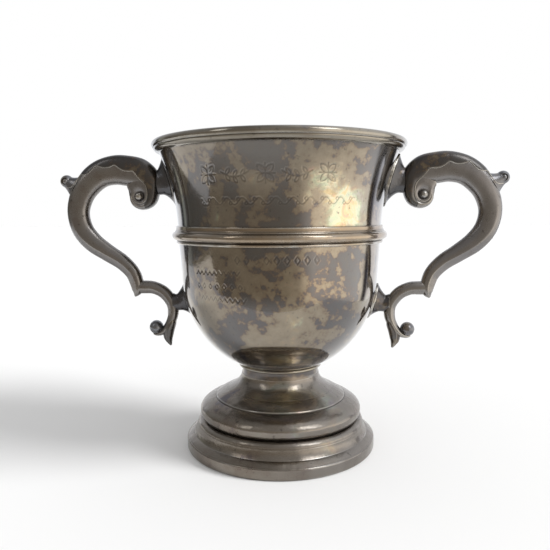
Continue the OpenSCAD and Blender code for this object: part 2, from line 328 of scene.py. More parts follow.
def silver(slot, tint, film, roughness=0.2, blotch=40.0, spread=0.5, rub=(0.46, 0.44, 0.40), seed=0.0,
           patches=(), grain=0.25, gloss=0.6, dents=0.0):
    """A slot with its material: old silver under a sulphide film of uneven thickness, rubbed bright on
    edges and dark in creases.

    film is the mean thickness, spread how far it varies, and blotch how many patches there are to a metre.
    patches are (x, y, z, reach, change of thickness) in millimetres. gloss is a hard clear skin of sulphide,
    and dents how far planishing and handling have left the surface uneven.
    """
    material = bpy.data.materials.new(slot)
    material.use_nodes = True
    tree = material.node_tree
    tree.nodes.clear()
    n = Nodes(tree)
    place = n.place(offset=(seed, seed * 0.7, seed * 1.3))

    broad = n.noise(place, blotch, 6, 0.58, 0.5)
    broken = n.noise(place, blotch * 6, 4, 0.62)
    thick = n.plus(n.times(n.plus(broad, -0.5), 2.4 * spread), film)
    thick = n.plus(thick, n.times(n.plus(broken, -0.5), 1.3 * spread))
    for x, y, z, reach, change in patches:
        away = n.add("ShaderNodeVectorMath", {"operation": "DISTANCE"})
        n.put(away, "0", n.add("ShaderNodeTexCoord").outputs["Object"])
        away.inputs[1].default_value = (x * MM, y * MM, z * MM)
        near = n.add("ShaderNodeMapRange", {"interpolation_type": "SMOOTHSTEP"}, Value=away.outputs["Value"],
                     From_Min=0.0, From_Max=reach * MM, To_Min=change, To_Max=0.0)
        thick = n.plus(thick, near.outputs[0])
    colour = n.ramp(thick, FILM)
    sheen = n.ramp(n.noise(place, blotch * 2.6, 4, 0.6, 1.0), SHEEN)
    colour = n.mix(n.ramp(thick, [(0.10, 1.0), (0.32, 0.0)]), colour, n.mix(1.0, colour, sheen, "MULTIPLY"))
    colour = n.mix(1.0, colour, tint, "MULTIPLY")

    clouds = n.noise(place, blotch * 0.4, 3, 0.5)
    colour = n.mix(n.ramp(clouds, [(0.38, 0.0), (0.70, 0.45)]), colour, tuple(0.16 * c for c in tint))
    spots = n.ramp(n.noise(place, blotch * 16, 2, 0.5), [(0.66, 0.0), (0.74, 0.55)])
    colour = n.mix(spots, colour, (0.05, 0.045, 0.04))

    bend = n.add("ShaderNodeAttribute", {"attribute_name": "bend"}).outputs["Fac"]
    cut = n.add("ShaderNodeAttribute", {"attribute_name": "cut"}).outputs["Fac"]
    rubbed = n.times(n.ramp(n.times(bend, 0.5), [(0.15, 0.0), (0.75, 1.0)]),
                    n.ramp(broken, [(0.30, 0.25), (0.55, 1.0)]))
    rubbed = n.times(rubbed, n.ramp(n.noise(place, 45, 2), [(0.42, 0.08), (0.60, 1.0)]))
    grime = n.ramp(n.times(bend, -0.5), [(0.12, 0.0), (0.8, 0.8)])
    colour = n.mix(rubbed, colour, rub)
    colour = n.mix(grime, colour, (0.035, 0.03, 0.026))
    # Darker where the channel read above is over 0: engraving, the lines where the mouldings meet the bowl,
    # and painted shade along the foot's undercut. Rubbed bright where it is under 0: burrs beside the
    # engraving, the leaf's bead, and a painted highlight on the volute's buttons.
    colour = n.mix(n.ramp(cut, [(0.15, 0.0), (0.7, 0.45)]), colour, (0.05, 0.043, 0.036))
    colour = n.mix(n.ramp(n.times(cut, -5.0), [(0.25, 0.0), (0.9, 0.5)]), colour, rub)

    lines = n.noise(n.place(scale=(1, 1, 9), offset=(seed, 0, 0)), 260, 4, 0.6)
    rough = n.plus(roughness - 0.06, n.times(n.ramp(thick, [(0.40, 0.0), (0.60, 1.0)]), 0.05))
    rough = n.plus(rough, n.times(n.noise(place, blotch * 1.7, 4, 0.6), 0.10))
    rough = n.plus(rough, n.times(grime, 0.2))

    height = n.plus(n.times(lines, grain), n.times(broken, 0.8))
    height = n.plus(height, n.times(n.noise(place, max(190, blotch * 5), 2, 0.45), dents))
    bump = n.add("ShaderNodeBump", Strength=0.3, Distance=0.00006, Height=height)
    shader = n.add("ShaderNodeBsdfPrincipled", Metallic=1.0, Roughness=rough, Normal=bump.outputs[0],
                   Coat_Weight=gloss, Coat_Roughness=0.5 * roughness, Coat_IOR=1.5)
    n.put(shader, "Base Color", colour)
    n.put(n.add("ShaderNodeOutputMaterial"), "Surface", shader.outputs[0])
    return slot, material


def on_foot(degrees, radius, z, reach, change):
    """A patch of thicker or thinner film, at an angle from the cup's front, a radius and a height."""
    a = math.radians(degrees)
    return radius * math.sin(a), -radius * math.cos(a), z, reach, change


# Patches of film on the foot: uneven tarnish, and also painted light and shade. The film is thinner and
# lighter on the foot's right and on the front of its cone and belly, and thicker and darker on its left and
# along the front of the base band.
FOOT_TARNISH_AND_PAINTED_LIGHT = [on_foot(a, FOOT_R, BAND_H / 2, 13, 0.07) for a in (-75, -45, -15, 15)] + [
    on_foot(5, NECK_R + 6, RIDGE_Z + 3, 17, -0.31),
    on_foot(35, NECK_R + 4, RIDGE_Z + 5, 9, -0.08),
    on_foot(-12, FOOT_R - 6, UNDERCUT_Z + 3, 7, -0.15),
    on_foot(14, FOOT_R - 6, UNDERCUT_Z + 2.5, 6, -0.13),
    on_foot(-18, FOOT_R - 5, UNDERCUT_Z - 2, 15, 0.05),
    on_foot(34, FOOT_R - 5, UNDERCUT_Z - 3, 9, -0.15),
    on_foot(52, NECK_R + 7, RIDGE_Z + 3, 13, -0.13),
    on_foot(52, FOOT_R - 7, UNDERCUT_Z + 4, 13, -0.10),
    on_foot(-40, FOOT_R - 8, UNDERCUT_Z + 4, 12, 0.10),
    on_foot(-55, NECK_R + 8, RIDGE_Z + 2, 12, 0.08),
]


def on_front(degrees, z, reach, change):
    """The same on the bowl, where the height gives the radius."""
    return on_foot(degrees, float(bowl_radius(z)), z, reach, change)


# The upper wall's patches, then the lower wall's
BOWL_PATCHES = [on_front(*patch) for patch in (
    (38, 98, 15, -0.56), (30, 110, 12, -0.19), (15, 108, 13, -0.20), (-10, 106, 12, -0.27),
    (-6, 95, 9, -0.24), (5, 89, 7, 0.14), (-25, 98, 10, -0.20), (-38, 109, 12, 0.09), (-50, 99, 12, 0.08),
    (14, 80, 13, 0.16), (30, 76, 17, 0.16), (48, 74, 14, 0.10), (38, 58, 14, 0.08), (-8, 50, 20, -0.16),
    (-30, 66, 14, -0.01), (12, 60, 12, -0.10), (-52, 80, 12, -0.08), (2, 66, 8, 0.12),
    (-26, 54, 12, 0.12))]
BOWL_SILVER = silver("bowl_silver", (0.99, 0.93, 0.87), 0.45, roughness=0.11, blotch=40, spread=0.52,
                     seed=0.3, patches=BOWL_PATCHES, grain=0.1, gloss=1.0, dents=2.5)
FOOT_SILVER = silver("foot_silver", (0.90, 0.89, 0.96), 0.36, roughness=0.27, blotch=26, spread=0.22,
                     seed=1.1, rub=(0.48, 0.47, 0.45), patches=FOOT_TARNISH_AND_PAINTED_LIGHT, gloss=0.15, dents=16.0)
COLLET_SILVER = silver("collet_silver", (0.85, 0.78, 0.72), 0.50, roughness=0.22, blotch=60, spread=0.3,
                       seed=1.9)
BEAD_SILVER = silver("bead_silver", (1.0, 0.98, 0.96), 0.30, roughness=0.24, blotch=60, spread=0.3, seed=2.4)
GIRDLE_SILVER = silver("girdle_silver", (1.10, 0.95, 0.83), 0.34, roughness=0.2, blotch=40, spread=0.24,
                       seed=3.2, dents=5.0)
RIM_SILVER = silver("rim_silver", (0.86, 0.85, 0.85), 0.38, roughness=0.18, blotch=30, spread=0.24, seed=4.1,
                    dents=5.0)
MOUNT_SILVER = silver("mount_silver", (0.62, 0.61, 0.62), 0.55, roughness=0.2, blotch=70, spread=0.26,
                      seed=5.0, gloss=0.5, dents=20.0)
HANDLE_SILVER = silver("handle_silver", (0.83, 0.88, 1.08), 0.39, roughness=0.28, blotch=34, spread=0.16,
                       seed=6.3, gloss=0.3, dents=4.0)
LEAF_SILVER = silver("leaf_silver", (0.68, 0.65, 0.61), 0.54, roughness=0.26, blotch=70, spread=0.28,
                     seed=7.7, gloss=0.3, dents=4.0)
BALL_SILVER = silver("ball_silver", (1.15, 1.20, 1.24), 0.50, roughness=0.27, blotch=70, spread=0.14,
                     seed=8.2, gloss=0.8, dents=5.0)


# ---- foot and collet

def base_band():
    outline = np.vstack([
        [[FOOT_R - 4, 0.0], [FOOT_R - 1.3, 0.0]],
        arc([FOOT_R - 0.9, 0.9], 0.9, -75, 0, 6),
        arc([FOOT_R - 0.8, BAND_H - 2.5], 0.8, 0, 52, 8),
        curve([FOOT_R - 0.5, BAND_H - 1.75], [FOOT_R - 1.8, BAND_H - 0.5], [FOOT_R - 3, BAND_H], 14),
        [[FOOT_R - 4, BAND_H]],
    ])
    make("base_band_ring", turned(outline, 288, ripple=0.02, seed=0.4), "base_band", FOOT_SILVER)


def foot_shell():
    shoulder = np.array([FOOT_R - 4.5, UNDERCUT_Z - 2.5])
    undercut = np.array([FOOT_R - 7.4, UNDERCUT_Z])
    belly = np.array([FOOT_R - 5.7, UNDERCUT_Z + 3.2])
    ridge = np.array([FOOT_R - 12.4, RIDGE_Z])
    middle = np.array([NECK_R + 5.7, RIDGE_Z + 3.3])
    lower_part = np.vstack([
        curve([FOOT_R - 3, BAND_H], [FOOT_R - 4.2, BAND_H + 1.6], shoulder, 14),
        curve(shoulder + [-0.1, 0.2], [shoulder[0] - 0.4, UNDERCUT_Z - 0.2], undercut, 16),
        curve(undercut + [0.1, 0.3], [belly[0] - 0.1, UNDERCUT_Z + 0.6], belly, 16),
        curve(belly + [0, 0.2], [belly[0] - 0.1, RIDGE_Z - 2.3], ridge + [0.35, -0.1], 26),
    ])
    upper_part = np.vstack([
        curve(ridge + [-0.6, 0.76], [FOOT_R - 14.6, RIDGE_Z + 1.9], middle, 14),
        curve(middle + [-0.2, 0.13], [NECK_R + 0.3, RIDGE_Z + 6.2], [NECK_R, FOOT_H], 22),
    ])
    step = curve(ridge + [0.2, -0.06], ridge + [0.03, 0.0], ridge + [-0.08, 0.3], 5)
    crest = arc(ridge + [-0.805, -0.038], 0.8, 28, 58, 5)
    outer = np.vstack([lower_part, step, crest, upper_part])
    under = inset(np.vstack([lower_part, upper_part]), WALL)[::-1]
    outline = np.vstack([outer, [outer[-1] - [WALL, 0]], under, [outer[0] - [WALL, 0]]])
    points, faces = turned(outline, 288, ripple=0.14, seed=2.2)
    angle = np.arctan2(points[:, 0], -points[:, 1])
    height = points[:, 2]
    # Painted shade: a dark, wavy band along the undercut below the belly.
    undercut_shade = (0.2 + 0.6 * waves(angle * 4, height, 4.6)) * np.exp(-((height - UNDERCUT_Z) / 0.75) ** 2)
    make("stepped_foot", (points, faces), "foot_shell", FOOT_SILVER, sharp=50, cut=undercut_shade)


def bottom_at(radius):
    return BOWL_Z - math.sqrt(BOWL_R ** 2 - radius ** 2)


def collet():
    inner = COLLET_R - WALL
    outline = [[inner, FOOT_H], [COLLET_R, FOOT_H], [COLLET_R - 0.15, FOOT_H + 1.2],
               [COLLET_R - 0.15, FOOT_H + 2.6], [COLLET_R, bottom_at(COLLET_R)], [inner, bottom_at(inner)]]
    make("collet_tube", turned(outline, 224), "collet", COLLET_SILVER)


def collet_bead():
    centre = [COLLET_R + 0.6, bottom_at(COLLET_R + 0.6) - 0.55]
    outline = np.vstack([arc(centre, BEAD_R, -149, 62, 18), [[COLLET_R, bottom_at(COLLET_R)]]])
    make("joint_bead", turned(outline, 224), "collet_bead", BEAD_SILVER)


# ---- engraving

def lozenge(x, z, width, height):
    w, h = width / 2, height / 2
    return [[x - w, z], [x, z + h], [x + w, z], [x, z - h], [x - w, z]]


def petal(x, z, length, width, degrees):
    """A closed leaf shape that points away from (x, z)."""
    t = np.linspace(0, 1, 9)
    edge = np.stack([t * length, width / 2 * np.sin(math.pi * t) ** 0.8], 1)
    outline = np.vstack([edge, edge[::-1] * [1, -1]])
    a = math.radians(degrees)
    return outline @ np.array([[math.cos(a), math.sin(a)], [-math.sin(a), math.cos(a)]]) + [x, z]


def rosette(x, z, size):
    """Four petals with four short rays between them."""
    parts = [petal(x, z, size * 0.5, size * 0.26, a) for a in (45, 135, 225, 315)]
    for a in (0, 90, 180, 270):
        ray = np.array([math.cos(math.radians(a)), math.sin(math.radians(a))]) * size
        parts.append(np.array([x, z]) + np.outer([0.2, 0.42], ray))
    return parts


def sprig(x, z, size, facing):
    """A curved stem with leaves on both sides."""
    t = np.linspace(0, 1, 12)
    stem = np.stack([x + facing * (t - 0.5) * size * 1.25, z - size * 0.22 * np.sin(math.pi * t)], 1)
    parts = [stem]
    for k in (2, 5, 8):
        for turn in (55, -55):
            aim = turn if facing > 0 else 180 - turn
            parts.append(petal(*stem[k], size * 0.30, size * 0.13, aim))
    return parts


def engraved_strokes():
    """Ornament as lines in (distance round the bowl from its front, height), in millimetres."""
    strokes = []
    for k, x in enumerate(np.linspace(-24, 20, 5)):
        strokes += rosette(x, 112.0, 8.0) if k % 2 == 0 else sprig(x, 112.8, 8.4, 1 if k == 1 else -1)
    t = np.linspace(-28, 32, 150)
    strokes.append(np.stack([t, 102.6 + 1.2 * np.sin(t * 1.05)], 1))
    for i, x in enumerate(np.arange(-26.9, 32, 2.99)):
        up = 1 if i % 2 else -1
        strokes.append(arc([x, 102.6 + 0.7 * up], 0.55, 0, 360, 10))
    for x in np.linspace(-13, 16, 9):
        strokes.append(lozenge(x, 81.7, 1.9, 2.8))
    zigzag = np.arange(-33, -11, 1.1)
    for row, z in enumerate((76.8, 71.8, 67.0)):
        shift = 1.2 * row
        if row == 1:
            for x in zigzag[::3]:
                strokes.append(lozenge(x + shift, z, 1.6, 1.9))
        else:
            up_down = np.where(np.arange(len(zigzag)) % 2, 0.8, -0.8)
            strokes.append(np.stack([zigzag + shift, z + up_down], 1))
    return strokes


def groove_depth(x, z, strokes):
    """How deep the graver went at each (x, z): 1 in the middle of a line, and just under 0 on the burr
    beside it.
    """
    nearest = np.full(x.shape, 9.0)
    for line in strokes:
        line = np.asarray(line)
        lo, hi = line.min(0) - 1, line.max(0) + 1
        near = (x > lo[0]) & (x < hi[0]) & (z > lo[1]) & (z < hi[1])
        if not near.any():
            continue
        px, pz = x[near], z[near]
        best = nearest[near]
        for a, b in zip(line[:-1], line[1:]):
            along = b - a
            t = ((px - a[0]) * along[0] + (pz - a[1]) * along[1]) / max(along @ along, 1e-9)
            t = np.clip(t, 0, 1)
            best = np.minimum(best, np.hypot(px - a[0] - t * along[0], pz - a[1] - t * along[1]))
        nearest[near] = best
    return np.exp(-(nearest / 0.24) ** 2) - 0.2 * np.exp(-((nearest - 0.5) / 0.16) ** 2)


# ---- bowl and mouldings

def graded(edges_and_steps):
    """Ascending values: each (start, stop, step) range in turn, without repeats."""
    rows = []
    for start, stop, step in edges_and_steps:
        rows += list(np.linspace(start, stop, max(2, round((stop - start) / step) + 1))[:-1])
    return np.array(rows + [edges_and_steps[-1][1]])


def bowl():
    """The outer skin, engraved and slightly uneven, joined over the lip to a plain inner skin."""
    # The steps are fine only where there is engraving
    angle = np.radians(graded([(-180, -50, 2.6), (-50, 48, 0.36), (48, 177.5, 2.6)]))
    turn = np.linspace(-90, -20, 22)
    bottom = BOWL_Z + BOWL_R * np.sin(np.radians(turn))
    girdle_low, girdle_high = low("girdle_moulding")[2], high("girdle_moulding")[2]
    rows = graded([(bottom[-1], LOWER_LINES[0], 1.1), (*LOWER_LINES, 0.3), (LOWER_LINES[1], girdle_low, 0.4),
                   (girdle_low, girdle_high, 2.4), (girdle_high, girdle_high + 2, 0.4),
                   (girdle_high + 2, UPPER_LINES[0], 1.2), (*UPPER_LINES, 0.3),
                   (UPPER_LINES[1], RIM_LOW - 1.5, 1.0), (RIM_LOW - 1.5, RIM_LOW, 0.3),
                   (RIM_LOW, LIP_Z, 1.2)])
    z = np.concatenate([bottom[:-1], rows])
    radius = bowl_radius(z)
    slope = np.gradient(radius, z)
    outward = 1 / np.sqrt(1 + slope ** 2)
    outward[:3] = 0

    aa, zz = np.meshgrid(angle, z)
    rr = np.repeat(radius[:, None], len(angle), 1)
    sink = PLANISHING * waves(aa, zz, 1.3) * np.clip((zz - 40) / 10, 0, 1) * np.clip((124 - zz) / 6, 0, 1)
    cut = groove_depth(aa * rr, zz, engraved_strokes())
    cut = cut * (0.35 + 0.65 * waves(aa * 3, zz * 2.2, 0.7))
    sink = sink + ENGRAVING * cut
    for edge in (girdle_low, girdle_high, RIM_LOW):
        cut = cut + (0.25 + 0.45 * waves(aa * 5, zz, 2.9)) * np.exp(-(np.abs(zz - edge) / 0.55) ** 1.5)
    rr = rr - sink * outward[:, None]
    zz = zz + sink * np.where(outward > 0, slope * outward, 0)[:, None]
    outer = np.stack([rr * np.sin(aa), -rr * np.cos(aa), zz], -1)

    inside_z = np.concatenate([[LIP_Z], graded([(50, 125, 5.0)])[::-1],
                               BOWL_Z + (BOWL_R - WALL) * np.sin(np.radians(np.linspace(-35, -90, 10)))])
    inside_r = np.where(inside_z > 50, bowl_radius(inside_z) - WALL,
                        np.sqrt(np.maximum((BOWL_R - WALL) ** 2 - (inside_z - BOWL_Z) ** 2, 0)))
    ia, iz = np.meshgrid(angle, inside_z)
    ir = np.repeat(inside_r[:, None], len(angle), 1)
    inner = np.stack([ir * np.sin(ia), -ir * np.cos(ia), iz], -1)

    rings = np.concatenate([outer, inner])
    cuts = np.concatenate([cut, np.zeros(inner.shape[:2])])
    skins = rings.reshape(-1, 3), grid_faces(len(rings), len(angle))
    make("bowl_body", skins, "bowl", BOWL_SILVER, sharp=60, cut=cuts)


def girdle():
    z = GIRDLE_Z
    low_z, high_z = z - 3.2, z + 4.1
    outline = np.vstack([
        [[bowl_radius(low_z) - 0.3, low_z]],
        arc([WAIST_R + 0.2, z - 2.6], 0.6, -90, 60, 14),
        arc([WAIST_R + 0.9, z], 1.6, -75, 75, 30),
        curve([WAIST_R + 1.2, z + 1.9], [WAIST_R + 0.8, z + 2.2], [WAIST_R + 0.8, z + 3], 8),
        arc([WAIST_R + 0.5, z + 3.6], 0.3, 0, 90, 5),
        [[bowl_radius(high_z) - 0.3, high_z], [WAIST_R - 0.35, z]],
    ])
    ring = turned(outline, 320, ripple=0.03, seed=3.3)
    make("girdle_wire", ring, "girdle_moulding", GIRDLE_SILVER, sharp=45)


def rim():
    outline = np.vstack([
        curve([bowl_radius(RIM_LOW), RIM_LOW], [RIM_R - 0.9, RIM_LOW + 0.5], [RIM_R - 0.7, CUP_H - 2.7], 20),
        arc([RIM_R - ROLL_R, CUP_H - ROLL_R], ROLL_R, -45, 90, 26),
        curve([LIP_R - WALL + 0.5, CUP_H], [LIP_R - WALL, CUP_H], [LIP_R - WALL, CUP_H - 0.5], 5),
        [[LIP_R - WALL, LIP_Z - 0.8]],
        [[bowl_radius(z) - 0.3, z] for z in np.arange(LIP_Z - 1.2, RIM_LOW, -0.75)],
    ])
    ring = turned(outline, 320, ripple=0.02, seed=5.1)
    make("rim_wire", ring, "rim_moulding", RIM_SILVER, sharp=50)


# ---- handles

def round_eye(radius, degrees):
    """The point of the handle's plane at a distance and direction from the volute's eye."""
    a = math.radians(degrees)
    return [EYE[0] + radius * math.cos(a), EYE[1] + radius * math.sin(a)]


# Each knot of a scroll is x, z, width across the band and depth front to back
VOLUTE = []
for a in (15, -25, -65, -105, -145, -180):
    wound = (15 - a) / 195
    VOLUTE.append(round_eye(3.25 * math.exp(0.47 * wound), a) + [1.6 * math.exp(wound), 5.6 + 1.8 * wound])
MAIN_KNOTS = VOLUTE + [
    [53.6, 109.4, 6.0, 7.7],
    [54.8, 112.9, 9.0, 7.9],
    [58.8, 115.2, 12.0, 8.0],
    [64.2, 116.3, 12.5, 8.0],
    [69.5, 116.65, 12.1, 8.0],
    [75.4, 115.2, 11.4, 7.8],
    [80.3, 111.6, 10.8, 7.6],
    [84.2, 106.3, 10.0, 7.3],
    [86.1, 99.2, 9.4, 7.0],
    [84.6, 92.0, 9.1, 6.7],
    [80.2, 86.3, 8.5, 6.4],
    [73.8, 81.7, 7.4, 6.0],
    [67.8, 77.8, 6.8, 5.7],
    [63.4, 73.2, 6.3, 5.5],
    [61.6, 68.4, 5.8, 5.3],
    [61.6, 65.2, 4.4, 4.6],
    [62.5, 63.0, 1.0, 2.0],
]
LOWER_KNOTS = [
    [62.0, 66.9, 5.6, 4.6],
    [58.6, 67.0, 5.6, 5.0],
    [54.2, 66.7, 5.4, 5.0],
    [49.8, 64.5, 5.3, 5.2],
    [46.5, 60.0, 5.0, 5.4],
    [46.2, 55.0, 4.5, 5.2],
    [47.9, 50.8, 3.7, 4.8],
    [50.6, 47.7, 2.9, 4.3],
    [53.2, 46.6, 1.8, 3.4],
    [54.8, 46.7, 0.8, 2.4],
]
TAIL_KNOTS = [
    [45.7, 54.2, 1.4, 4.0],
    [46.6, 51.8, 3.6, 5.3],
    [48.2, 48.4, 4.8, 5.0],
    [48.5, 45.2, 4.0, 4.0],
    [48.0, 43.2, 2.4, 2.6],
    [47.4, 41.6, 0.8, 1.4],
]
# Half of the arch's section, from its outer edge over its front to its inner edge, in units of half its
# width and half its depth
ROUND_FACE = [[1, 0], [0.975, 0.30], [0.86, 0.62], [0.62, 0.85], [0.28, 0.95], [-0.08, 0.99], [-0.40, 0.95],
              [-0.62, 0.87], [-0.72, 0.79], [-0.86, 0.60], [-0.97, 0.28], [-1, 0]]
SLOPE_STEPS, FACE_STEPS = 10, 18
PER_KNOT = 8


def length_along(points):
    """The distance along a line at each of its points."""
    return np.concatenate([[0], np.cumsum(np.linalg.norm(np.diff(points, axis=0), axis=1))])


def resampled(points, steps):
    """The same line with its points evenly spaced."""
    length = length_along(points)
    even = np.linspace(0, length[-1], steps + 1)
    return np.stack([np.interp(even, length, points[:, 0]), np.interp(even, length, points[:, 1])], 1)


def ridged(ridge):
    """Half a section whose outer side slopes up to a ridge and whose face is nearly flat behind it."""
    back = ridge + 1
    slope = smooth([[1, 0], [0.985, 0.25], [0.54 + 0.46 * ridge, 0.64], [ridge, 0.94]], 8)
    face = smooth([[ridge, 0.94], [ridge - 0.10 * back, 0.975], [ridge - 0.45 * back, 0.91],
                   [ridge - 0.75 * back, 0.70], [ridge - 0.93 * back, 0.40], [-1, 0]], 8)
    return np.vstack([resampled(slope, SLOPE_STEPS)[:-1], resampled(face, FACE_STEPS)])


def plain_bar():
    """Half a rounded section with only a faint ridge."""
    a = np.radians(np.linspace(0, 180, 40))
    oval = resampled(np.stack([np.cos(a), np.sin(a) ** 0.9], 1), SLOPE_STEPS + FACE_STEPS)
    return 0.65 * oval + 0.35 * ridged(0.08)


def main_halves():
    """The main scroll's half sections: round over the arch, then with a ridge that moves inwards."""
    plump = resampled(smooth(ROUND_FACE, 8), SLOPE_STEPS + FACE_STEPS)
    rows = []
    for knot in np.arange(len(MAIN_LINE)) / PER_KNOT:
        share = min(max((knot - 12.5) / 3.5, 0), 1)
        ridge = np.interp(knot, [12, 14, 16, 18, 20], [0.70, 0.55, 0.36, 0.16, 0.06])
        rows.append(plump + (ridged(ridge) - plump) * share ** 2 * (3 - 2 * share))
    return rows


def outward_of(line):
    """The unit normals, on the outer side, of a line of knots."""
    along = np.gradient(line[:, :2], axis=0)
    along /= np.linalg.norm(along, axis=1)[:, None]
    return np.stack([-along[:, 1], along[:, 0]], 1)


def swept(line, halves, side):
    """A closed scroll along a line of knots, with half of its section at each."""
    rings = []
    for (x, z, width, depth), (nx, nz), half in zip(line, outward_of(line), halves):
        shape = np.vstack([half * [1, -1], half[1:-1][::-1]])
        u, v = shape[:, 0] * width / 2, shape[:, 1] * depth / 2
        rings.append(np.stack([side * (x + u * nx), v, z + u * nz], 1))
    return tube(rings)


MAIN_LINE = smooth(MAIN_KNOTS, PER_KNOT)
LOWER_LINE = smooth(LOWER_KNOTS, 9)
TAIL_LINE = smooth(TAIL_KNOTS, 9)


def joined(*parts):
    """Several (points, faces) as one."""
    points, faces, base = [], [], 0
    for p, f in parts:
        points.append(p)
        faces += [[i + base for i in face] for face in f]
        base += len(p)
    return np.vstack(points), faces


def disc_about_y(centre, outline, steps, side):
    """A solid turned about an axis along Y; the outline is (radius, y) from one pole to the other."""
    angle = full_turn(steps)
    rings = []
    for radius, y in outline:
        rings.append(np.stack([side * (centre[0] + radius * np.cos(angle)), np.full(steps, y),
                               centre[1] + radius * np.sin(angle)], 1))
    return tube(rings)


def cheek(side):
    """The dished eye of the volute: it rises from the groove round the button and blends into the arch."""
    degrees = np.arange(-180, 180, 6)
    known = [-180, -120, -65, 0, 20, 31, 38, 46, 60, 90, 130, 180]
    reach = np.interp(degrees, known, [5.2, 4.5, 4.1, 4.15, 4.7, 5.3, 6.5, 6.9, 6.4, 6.6, 6.5, 5.2])
    crest = np.interp(degrees, known, [3.4, 2.9, 2.7, 2.65, 2.8, 3.2, 3.8, 4.2, 4.8, 5.2, 4.7, 3.4])
    edge = np.interp(degrees, known, [3.5, 3.05, 2.9, 2.9, 2.95, 3.0, 3.1, 3.2, 3.4, 3.7, 3.8, 3.5])
    drop = (reach - crest) * np.interp(degrees, [-180, 20, 46, 130, 180], [0.5, 0.5, 0.04, 0.04, 0.5])
    floor, button = 2.6, 1.75
    a = np.radians(degrees)
    rows = []
    for share in np.concatenate([[0.02, 0.2, 0.35], np.linspace(0.42, 1, 16)]):
        r = reach * share
        rise = np.clip((r - button) / (crest - button), 0, 1)
        fall = np.clip((r - crest) / (reach - crest), 0, 1)
        half = floor + (edge - floor) * rise * (2 - rise) - drop * fall ** 1.6
        rows.append((EYE[0] + r * np.cos(a), EYE[1] + r * np.sin(a), half))
    front = [np.stack([side * x, -half, z], 1) for x, z, half in rows]
    back = [np.stack([side * x, half, z], 1) for x, z, half in rows[::-1]]
    return tube(front + back)


def scroll_parts(side):
    return joined(swept(MAIN_LINE, main_halves(), side), cheek(side))


def main_scroll(side_name, side):
    make(f"{side_name}_scroll_band", scroll_parts(side), f"{side_name}_main_scroll", HANDLE_SILVER, sharp=50)


def lower_scroll(side_name, side):
    scroll = swept(LOWER_LINE, [plain_bar()] * len(LOWER_LINE), side)
    make(f"{side_name}_c_scroll", scroll, f"{side_name}_lower_scroll", HANDLE_SILVER, sharp=50)


def tail_spur(side_name, side):
    spur = swept(TAIL_LINE, [plain_bar()] * len(TAIL_LINE), side)
    make(f"{side_name}_tail_leaf", spur, f"{side_name}_tail_spur", LEAF_SILVER, sharp=50)


# The leaf's lobes: each runs from cusp to cusp, as (knot along the main scroll, place across its face)
LOBES = [
    [[7.0, -0.51], [7.8, -0.42], [8.4, 0.05]],
    [[8.4, 0.05], [9.3, -0.20], [9.8, 0.33]],
    [[9.8, 0.33], [10.5, -0.05], [10.95, 0.64]],
    [[10.95, 0.64], [11.75, 0.15], [12.0, 0.90]],
    [[12.0, 0.90], [12.1, 0.96], [12.25, 1.0]],
]
# The leaf's edge winds on round the button of the volute, as (direction in degrees, distance from the eye)
SPIRAL = [[-5, 2.4], [-48, 2.65], [-85, 2.65], [-122, 2.95], [-165, 3.45], [-206, 4.2], [-235, 5.5]]
# At its other end it runs down the neck of the thumbpiece and under its ball, in x and z from the ball
CURL = [[-5.75, 0.95], [-4.4, -1.1], [-3.3, -2.2], [-1.9, -2.65], [-0.1, -2.35]]


def at_knot(knots):
    """The main scroll's x, z, width, depth and outward normal at fractional knots."""
    where = np.asarray(knots, float) * PER_KNOT
    index = np.arange(len(MAIN_LINE))
    line = np.stack([np.interp(where, index, MAIN_LINE[:, k]) for k in range(4)], -1)
    normal = outward_of(MAIN_LINE)
    return line, np.stack([np.interp(where, index, normal[:, k]) for k in range(2)], -1)


def leaf_edge():
    """The scalloped edge as (knot, place across), cusp to cusp."""
    return np.vstack([curve(*lobe, 16)[:-1] for lobe in LOBES] + [[LOBES[-1][-1]]])


def edge_bead(side, face, surface):
    """The rubbed bead along the leaf's edge: it starts beside the button and ends under the thumb's ball."""
    winding = smooth(SPIRAL, 8)
    track = [round_eye(r, a) for a, r in winding]
    edge = leaf_edge()
    edge = edge[edge[:, 0] <= LOBES[-1][0][0]]
    line, normal = at_knot(edge[:, 0])
    for (x, z, width, _), (nx, nz), u in zip(line, normal, edge[:, 1]):
        track.append([x + u * width / 2 * nx, z + u * width / 2 * nz])
    track += list(THUMB[[0, 2]] + smooth(CURL, 8))
    path = []
    for x, z in track:
        hit = surface.ray_cast(Vector((side * x, face * -12, z)), Vector((0, face, 0)))[0]
        path.append([side * x, hit.y if hit else face * -0.5, z])
    path = np.array(path)
    path[1:-1] = (path[:-2] + 2 * path[1:-1] + path[2:]) / 4
    for _ in range(6):
        path[1:-1, 1] = (path[:-2, 1] + 2 * path[1:-1, 1] + path[2:, 1]) / 4
    size = np.interp(np.linspace(0, 1, len(path)), [0, 0.15, 0.35, 0.94, 1], [0.08, 0.14, 0.25, 0.25, 0.12])
    return rope(path, size)


def rope(path, size, steps=10):
    """A round rod along a path in space, with a radius at each point."""
    along = np.gradient(path, axis=0)
    along /= np.linalg.norm(along, axis=1)[:, None]
    across = np.cross(along, [0, 1, 0])
    across /= np.maximum(np.linalg.norm(across, axis=1), 1e-6)[:, None]
    third = np.cross(along, across)
    angle = full_turn(steps)
    rings = [p + r * (np.outer(np.cos(angle), a) + np.outer(np.sin(angle), b))
             for p, r, a, b in zip(path, size, across, third)]
    return tube(rings)


